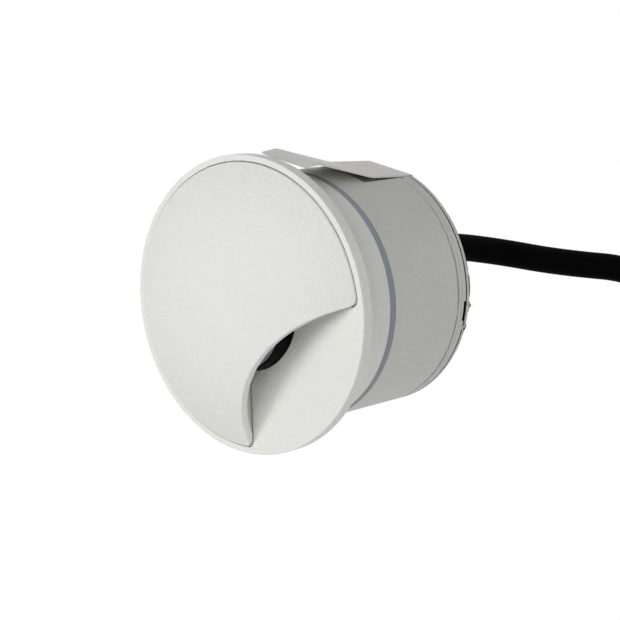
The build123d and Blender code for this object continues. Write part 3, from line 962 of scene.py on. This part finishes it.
def addLid(c):
    ball, ballCentre = lidCurves(c)[:2]
    piece = ringOfPoints("eyelidCover", [(x, 0, z) for x, z in lidOutline(c)])
    editAll(piece)
    even, bunched, power = c["ringSpread"]
    share = 1.0
    for i in range(1, c["rings"]):
        # the rings lie closer together near the edge
        nextShare = 1 - (even * i / c["rings"] + bunched * (i / c["rings"]) ** power)
        bpy.ops.mesh.extrude_region_move(TRANSFORM_OT_translate={"value": (0, 0, 0)})
        bpy.ops.transform.resize(
            value=[nextShare / share] * 3,
            center_override=(0, 0, c["centre"] * mm),
        )
        share = nextShare
    bpy.ops.mesh.extrude_region_move(TRANSFORM_OT_translate={"value": (0, 0, 0)})
    bpy.ops.mesh.merge(type="CENTER")
    bpy.ops.mesh.select_all(action="SELECT")
    bpy.ops.mesh.extrude_region_move(TRANSFORM_OT_translate={"value": (0, mm, 0)})
    leaveEdit()

    def depths(x, z):
        # front and rear face of the shell at a place
        top = ballDepth(ball, ballCentre, x, z)
        under = ballDepth(ball - c["skin"], ballCentre, x, z)
        inMouth = -z > abs(x) / math.tan(math.radians(c["mouthAngle"])) - c["mouthMargin"]
        floor = max(c["lipFloor"], top + c["lipThinnest"]) if inMouth else c["base"]
        return top, min(under, floor)

    # the two flat layers, at 0 and 1 mm, go to the front and the rear face
    for vertex in piece.data.vertices:
        x, y, z = vertex.co / mm
        vertex.co.y = depths(x, z)[y > 0.5] * mm
    cleanSolid(piece)
    # rounded front and rear edges, crisper where the shell is thin
    mesh = piece.data
    weights = mesh.attributes.new("bevel_weight_edge", "FLOAT", "EDGE")
    faces = {}
    for polygon in mesh.polygons:
        for key in polygon.edge_keys:
            faces.setdefault(key, []).append(polygon.normal)
    for edge in mesh.edges:
        tilts = sorted(abs(normal.y) for normal in faces[tuple(sorted(edge.vertices))])
        if tilts[0] < c["sideTilt"] < tilts[-1]:
            first, second = [mesh.vertices[i].co / mm for i in edge.vertices]
            middle = (first + second) / 2
            top, bottom = depths(middle.x, middle.z)
            width = min(c["edgeRound"], c["roundShare"] * (bottom - top))
            weights.data[edge.index].value = width / c["edgeRound"]
    bevel = piece.modifiers.new("roundedEdges", "BEVEL")
    bevel.width = c["edgeRound"] * mm
    bevel.segments = 4
    bevel.limit_method = "WEIGHT"
    bevel.use_clamp_overlap = False
    applyAll(piece)

    walls = addLidWalls(c, ball, ballCentre)
    combine(piece, walls, "UNION")
    evenNormals(piece)
    settle(piece, "light", "white_paint", whitePaint, "eyelid_cover")


def addLidWalls(c, ball, ballCentre):
    # ring round the barrel with a cheek along each side of the mouth, and the screw bosses
    edge = 180 - c["mouthAngle"]
    bore, reach = c["ringBore"], c["wallReach"]

    def outward(radius):
        return edge - math.degrees(math.asin(c["wall"] / radius))

    outer = bore + c["wall"]
    outline = [
        clockPoint(reach, edge),
        *clockArc(bore, edge, -edge, c["ringSteps"]["inner"]),
        clockPoint(reach, -edge),
        clockPoint(reach, -outward(reach)),
        *clockArc(outer, -outward(outer), outward(outer), c["ringSteps"]["outer"]),
        clockPoint(reach, outward(reach)),
    ]
    base, front = c["base"] - c["wallOverlap"], c["apex"] + c["toolReach"]
    walls = prism("lidWalls", outline, front, base)
    bosses = c["bosses"]
    lastAngle = 360 - 360 / bosses["steps"]
    for angle in bosses["clocks"]:
        x, z = clockPoint(bosses["circle"], angle)
        ring = clockArc(bosses["radius"], 0, lastAngle, bosses["steps"])
        circle = [(x + dx, z + dz) for dx, dz in ring]
        combine(walls, prism("boss", circle, front, base - c["wallOverlap"]), "UNION")
    # the walls end halfway into the shell, and a little inside its outline
    inside = ball - c["skin"] / 2
    radii = [c["radius"] * i / c["domeSteps"] for i in range(c["domeSteps"] + 1)]
    cap = [(radius, ballDepth(inside, ballCentre, radius, 0)) for radius in radii]
    cap = [(radius, depth) for radius, depth in cap if depth < c["base"] - c["capGap"]]
    rear = c["base"] + c["capGap"]
    trim = spun("trim", [*cap, (cap[-1][0], rear), (0, rear)], steps=128)
    combine(walls, trim, "INTERSECT")
    gap = c["wallGap"]
    inset = {**c, "radius": c["radius"] - gap, "mouthTop": c["mouthTop"] - gap}
    combine(walls, prism("lidInside", lidOutline(inset), c["apex"], 0), "INTERSECT")
    return walls


addPlate(plate)
addLid(lid)
print("front plate and eyelid cover made")


# barrel and lens in the mouth

barrel = {
    "outline": (
        (16.9, -9.0),
        (17.2, -9.0),
        (17.3, -3.7),
        (17.3, -0.7),
        (18.8, -0.7),
        (18.8, 1.3),
        (17.0, 1.3),
        (17.0, 9.0),
        (15.6, 9.0),
        (15.6, -5.4),
        (16.9, -5.4),
    ),
    "rounding": 0.1,
}


def addBarrel(b):
    ring = spun("lensBarrel", b["outline"], width=b["rounding"])
    settle(ring, "light", "black_plastic", blackPlastic, "baffle_ring")


lens = {
    "radius": 16.8,
    "crownRadius": 16.2,
    "front": -8.9,
    "rear": -6.4,
    "crown": 0.35,
    "rings": 10,
    "rounding": 0.1,
}


def addLens(c):
    crown = [
        (c["crownRadius"] * math.sin(t), c["front"] - c["crown"] * math.cos(t) ** 2)
        for t in [math.pi / 2 * i / c["rings"] for i in range(c["rings"] + 1)]
    ]
    outline = [*crown, (c["radius"], c["front"]), (c["radius"], c["rear"]), (0, c["rear"])]
    glass = spun("lensGlass", outline, width=c["rounding"], segments=2)
    settle(glass, "light", "clouded_glass", glassWithPaintedGlint, "lens")


addBarrel(barrel)
addLens(lens)
print("barrel and lens made")


# gaskets and round body

gasket = {
    "inner": 31.0,
    "outer": 34.0,
    "front": 14.6,
    "rear": 17.0,
    "pinch": 0.15,
    "edge": 0.3,
    "edgeSwell": 0.054,
    "swell": 0.18,
}


def addGasket(g):
    middle = (g["front"] + g["rear"]) / 2
    outline = [
        (g["inner"], g["front"]),
        (g["outer"] - g["pinch"], g["front"]),
        (g["outer"] + g["edgeSwell"], g["front"] + g["edge"]),
        (g["outer"] + g["swell"], middle),
        (g["outer"] + g["edgeSwell"], g["rear"] - g["edge"]),
        (g["outer"] - g["pinch"], g["rear"]),
        (g["inner"], g["rear"]),
    ]
    settle(spun("bodyGasket", outline), "light", "blue_grey_rubber", gasketRubber, "body_gasket")


addGasket(gasket)
bodyEdges = {"width": 0.08}
bodyCopy = roundedCopy("roundBody", "housing", **bodyEdges)
settle(bodyCopy, "light", "body_paint", bodyPaint, "housing")
coverEdges = {"width": 0.1, "angle": 40}
coverCopy = roundedCopy("rearCover", "rear_cover", **coverEdges)
settle(coverCopy, "light", "body_paint", bodyPaint, "rear_cover")
print("body and gaskets made")


# cross-recessed pan-head screws

panHead = {
    # the head's outline: share of its radius, then how far below the top
    "headOutline": ((0, 0), (0.45, 0.04), (0.75, 0.2), (0.93, 0.55), (1, 1.0)),
    "headHeight": 1.6,
    "headEdge": 0.1,
    "threadDepth": 0.22,
    "pointLength": 1.0,
    "pointRadius": 0.8,
    "recessAbove": 0.5,
    "recessTaper": {"length": 0.35, "width": 0.7},
    "firstTurn": 0.6,
    "nextTurn": 1.1,
}
coverScrews = {
    **panHead,
    "circle": 31.55,
    "clocks": (147.4, 327.4),
    "seat": 49.5,
    "length": 8.9,
    "headRadius": 2.0,
    "threadRadius": 1.2,
    "threadPitch": 0.45,
    "recessLength": 2.3,
    "recessWidth": 0.5,
    "recessDepth": 0.9,
}
clipScrews = {
    **panHead,
    "circle": 27.6,
    "clocks": (60.4, 240.4),
    "seat": 50.1,
    "length": 7.4,
    "headRadius": 2.6,
    "threadRadius": 1.45,
    "threadPitch": 0.5,
    "recessLength": 2.9,
    "recessWidth": 0.62,
    "recessDepth": 1.0,
}


def crossRecess(s, top):
    # two crossed wedges, narrower at the bottom
    half, wide, deep = s["recessLength"] / 2, s["recessWidth"] / 2, s["recessDepth"]
    taper = s["recessTaper"]
    tools = []
    for turnAngle in (0, math.pi / 2):
        deselectAll()
        bpy.ops.mesh.primitive_cube_add(size=2 * mm)
        tool = bpy.context.object
        for vertex in tool.data.vertices:
            bottom = vertex.co.y < 0
            x = math.copysign(half * (taper["length"] if bottom else 1), vertex.co.x)
            z = math.copysign(wide * (taper["width"] if bottom else 1), vertex.co.z)
            y = -deep if bottom else s["recessAbove"]
            vertex.co = Vector((x, y, z)) * mm
        turn = Matrix.Rotation(turnAngle, 4, "Y")
        tool.data.transform(Matrix.Translation((0, top * mm, 0)) @ turn)
        tools.append(tool)
    return tools


def addScrews(name, s, node):
    headRadius, height = s["headRadius"], s["headHeight"]
    head = [
        *[(headRadius * share, height - drop) for share, drop in s["headOutline"]],
        (headRadius, s["headEdge"]),
        (headRadius - s["headEdge"], 0),
    ]
    shank = []
    depth, high = 0.0, True
    while depth > -s["length"] + s["pointLength"]:
        shank.append((s["threadRadius"] - (0 if high else s["threadDepth"]), depth))
        depth -= s["threadPitch"] / 2
        high = not high
    outline = [*head, *shank, (s["pointRadius"], -s["length"]), (0, -s["length"])]
    for i, angle in enumerate(s["clocks"]):
        one = spun(f"{name}{i + 1}", outline, steps=48)
        for tool in crossRecess(s, height):
            combine(one, tool, "DIFFERENCE")
        smoothByAngle(one, 30)
        t = math.radians(angle)
        spot = (s["circle"] * math.sin(t) * mm, s["seat"] * mm, s["circle"] * math.cos(t) * mm)
        turn = Matrix.Rotation(s["firstTurn"] + s["nextTurn"] * i, 4, "Y")
        one.data.transform(Matrix.Translation(spot) @ turn)
        settle(one, "light", "zinc_steel", platedSteel, node)


addScrews("rearCoverScrew", coverScrews, "rear_cover_screws")
addScrews("clipScrew", clipScrews, "clip_screws")
print("outside screws made")


# leaf spring clips, each one strip from the tab under its screw to its tip

clip = {
    "path": ((20.0, 50.1), (33.2, 50.1), (34.4, 31.8), (40.0, 8.7), (39.5, 3.2)),
    "parts": (1, 4, 10, 3),
    "width": 15.6,
    "thickness": 0.6,
    "foldRadii": (0.7, 0.8, 0.8),
    "edgeRound": 0.1,
    "nearBy": 0.01,  # points closer than this count as one place
    "blend": ((33.35, 34.5), (35.4, 27.0)),
}


def addClip(name, c, clockAngle, body):
    deselectAll()
    bpy.ops.mesh.primitive_plane_add(size=2 * mm)
    piece = bpy.context.object
    piece.name = piece.data.name = name
    half, near = c["width"] / 2, c["nearBy"] * mm
    path = []
    for (start, end), parts in zip(zip(c["path"], c["path"][1:]), c["parts"]):
        for i in range(parts):
            share = i / parts
            path.append(tuple(a + (b - a) * share for a, b in zip(start, end)))
    path.append(c["path"][-1])
    first, second = path[0], path[1]
    corners = ((-half, *first), (half, *first), (-half, *second), (half, *second))
    for vertex, (across, distance, depth) in zip(piece.data.vertices, corners):
        vertex.co = Vector((across, depth, distance)) * mm
    for before, after in zip(path[1:], path[2:]):
        place = Vector((0, before[1], before[0])) * mm
        selectWhere(
            piece,
            "vertices",
            lambda v: abs(v.co.y - place.y) < near and abs(v.co.z - place.z) < near,
        )
        pick(piece)
        bpy.ops.object.mode_set(mode="EDIT")
        bpy.ops.mesh.select_mode(type="VERT")
        step = Vector((0, after[1] - before[1], after[0] - before[0])) * mm
        bpy.ops.mesh.extrude_region_move(TRANSFORM_OT_translate={"value": step})
        leaveEdit()
    for corner, radius in zip(c["path"][1:-1], c["foldRadii"]):
        corner = Vector((0, corner[1], corner[0])) * mm
        mesh = piece.data

        def onFold(edge):
            ends = [mesh.vertices[i].co for i in edge.vertices]
            return all(abs(p.y - corner.y) < near and abs(p.z - corner.z) < near for p in ends)

        selectWhere(piece, "edges", onFold)
        pick(piece)
        bpy.ops.object.mode_set(mode="EDIT")
        bpy.ops.mesh.select_mode(type="EDGE")
        bpy.ops.mesh.bevel(offset=radius * mm, segments=4, affect="EDGES")
        leaveEdit()
    cleanSolid(piece)
    # the strip's thickness lies on the inner side of its path
    middle = max(piece.data.polygons, key=lambda p: p.center.z)
    if middle.normal.z < 0:
        editAll(piece)
        bpy.ops.mesh.flip_normals()
        leaveEdit()
    thick = piece.modifiers.new("thickness", "SOLIDIFY")
    thick.thickness = c["thickness"] * mm
    thick.offset = -1
    thick.use_even_offset = True
    applyAll(piece)
    smoothByAngle(piece, 40)
    roundEdges(piece, c["edgeRound"], 2, 50)
    piece.data.transform(Matrix.Rotation(math.radians(clockAngle), 4, "Y"))
    t = math.radians(clockAngle)
    start, end = [
        Vector((distance * math.sin(t), depth, distance * math.cos(t))) * mm
        for distance, depth in c["blend"]
    ]
    settle(piece, None, "spring_steel", clipSteel, f"{body}_foot", f"{body}_arm")
    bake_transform(piece)


addClip("upperClip", clip, 60.4, "upper_clip")
addClip("lowerClip", clip, 240.4, "lower_clip")
print("clips made")


# cable gland and boot

gland = {
    "spot": (0, 8.1),
    "sleeve": (5.45, 52.0, 53.6),
    "collar": (6.7, 53.6, 54.6),
    "root": 5.9,
    "tip": 4.8,
    "end": 72.1,
    "bore": 4.15,
    "ribs": 6,
    "ribStart": 57.4,
    "ribPitch": 2.3,
    "ribGap": 0.9,
    "ribDepth": 0.75,
    "ribSlope": 0.1,
}


def addBoot(g):
    def taper(depth):
        share = (depth - g["collar"][2]) / (g["end"] - g["collar"][2])
        return g["root"] + (g["tip"] - g["root"]) * share

    outline = [
        (g["bore"], g["sleeve"][1]),
        (g["sleeve"][0], g["sleeve"][1]),
        (g["sleeve"][0], g["sleeve"][2]),
        (g["collar"][0], g["collar"][1]),
        (g["collar"][0], g["collar"][2]),
        (g["root"], g["collar"][2]),
    ]
    for i in range(g["ribs"]):
        start = g["ribStart"] + i * g["ribPitch"]
        end = start + g["ribGap"]
        outline += [
            (taper(start), start),
            (taper(start) - g["ribDepth"], start + g["ribSlope"]),
            (taper(end) - g["ribDepth"], end - g["ribSlope"]),
            (taper(end), end),
        ]
    outline += [(g["tip"], g["end"]), (g["bore"], g["end"])]
    boot = spun("cableBoot", outline, steps=96, centre=g["spot"], width=0.14, segments=2)
    settle(boot, "light", "black_rubber", blackRubber, "strain_relief")


addBoot(gland)
glandEdges = {"width": 0.2}
glandCopy = roundedCopy("glandBody", "cable_gland", **glandEdges)
settle(glandCopy, "light", "black_plastic", blackPlastic, "cable_gland")
nutEdges = {"width": 0.4, "segments": 3}
nutCopy = roundedCopy("glandNut", "gland_nut", **nutEdges)
settle(nutCopy, "light", "black_plastic", blackPlastic, "gland_nut")
print("gland and boot made")


# floor, lights and background

stage = {
    "floorSize": 3.0,
    "floorDrop": 0.5,
    "floorColor": 0.80,
    "floorRoughness": 0.9,
    "floorGlow": 0.6,
    "ambient": 0.26,
    "lampTarget": 15,
}
lamps = (
    # name, direction towards the lamp as (right, up, near the camera), distance, size, and
    # the level: how bright a white matt surface that faces it shows; then whether gloss shows it
    ("keyLamp", (-0.42, 0.37, 0.83), 1.1, 0.8, 0.335, True),
    ("leftLamp", (-0.95, -0.10, 0.30), 1.1, 0.4, 0.32, False),
    ("lowLamp", (0.70, -0.55, 0.45), 1.0, 0.8, 0.14, False),
    ("backLamp", (0.0, 0.0, -1.0), 1.1, 0.5, 0.2, False),
)


def seenDirectly(tree):
    # 1 for the rays that show a background: from the camera, off gloss and through glass
    rays = addNode(tree, "LightPath").outputs
    straight = math2(tree, "MAXIMUM", rays["Is Camera Ray"], rays["Is Transmission Ray"])
    return math2(tree, "MAXIMUM", straight, rays["Is Glossy Ray"])


def addStage(s):
    deselectAll()
    bpy.ops.mesh.primitive_plane_add(size=s["floorSize"], location=(0, 0, 0))
    floor = bpy.context.object
    floor.name = "floor"
    floor.data.transform(Matrix.Translation((0, 0, cadBounds[0][2] - s["floorDrop"] * mm)))
    paper = bpy.data.materials.new("paleFloor")
    paper.use_nodes = True
    tree = paper.node_tree
    shader = tree.nodes["Principled BSDF"]
    shader.inputs["Base Color"].default_value = rgb(*[s["floorColor"]] * 3)
    shader.inputs["Roughness"].default_value = s["floorRoughness"]
    glow = addNode(tree, "Emission", {0: rgb(1, 1, 1), 1: 1.0})
    share = math2(tree, "MULTIPLY", seenDirectly(tree), s["floorGlow"])
    pale = addNode(tree, "MixShader", {0: share, 1: shader.outputs[0], 2: glow.outputs[0]})
    tree.links.new(pale.outputs[0], tree.nodes["Material Output"].inputs["Surface"])
    floor.data.materials.append(paper)
    floor.visible_shadow = False  # the low lamp shines up through it

    world = bpy.data.worlds.new("studio")
    scene.world = world
    world.use_nodes = True
    tree = world.node_tree
    tree.nodes.clear()
    dim = addNode(tree, "Background", {0: rgb(1, 1, 1), 1: s["ambient"]})
    white = addNode(tree, "Background", {0: rgb(1, 1, 1), 1: 1.0})
    share = seenDirectly(tree)
    mixed = addNode(tree, "MixShader", {0: share, 1: dim.outputs[0], 2: white.outputs[0]})
    addNode(tree, "OutputWorld", {0: mixed.outputs[0]})


def addLamps(s):
    right, up, forward = [Vector(camera[k]) for k in ("right", "up", "forward")]
    target = Vector((0, s["lampTarget"] * mm, 0))
    for name, (across, high, near), distance, size, level, glossy in lamps:
        lampData = bpy.data.lights.new(name, "AREA")
        lampData.shape = "DISK"
        lampData.size = size
        lampData.energy = level * math.pi**2 * ((size / 2) ** 2 + distance**2)
        item = bpy.data.objects.new(name, lampData)
        scene.collection.objects.link(item)
        direction = (across * right + high * up - near * forward).normalized()
        item.location = target + direction * distance
        item.rotation_mode = "QUATERNION"
        item.rotation_quaternion = direction.to_track_quat("Z", "Y")
        item.visible_glossy = glossy
        item.visible_camera = False


addStage(stage)
addLamps(stage)
scene.view_settings.view_transform = "Standard"
print("stage and lamps set")
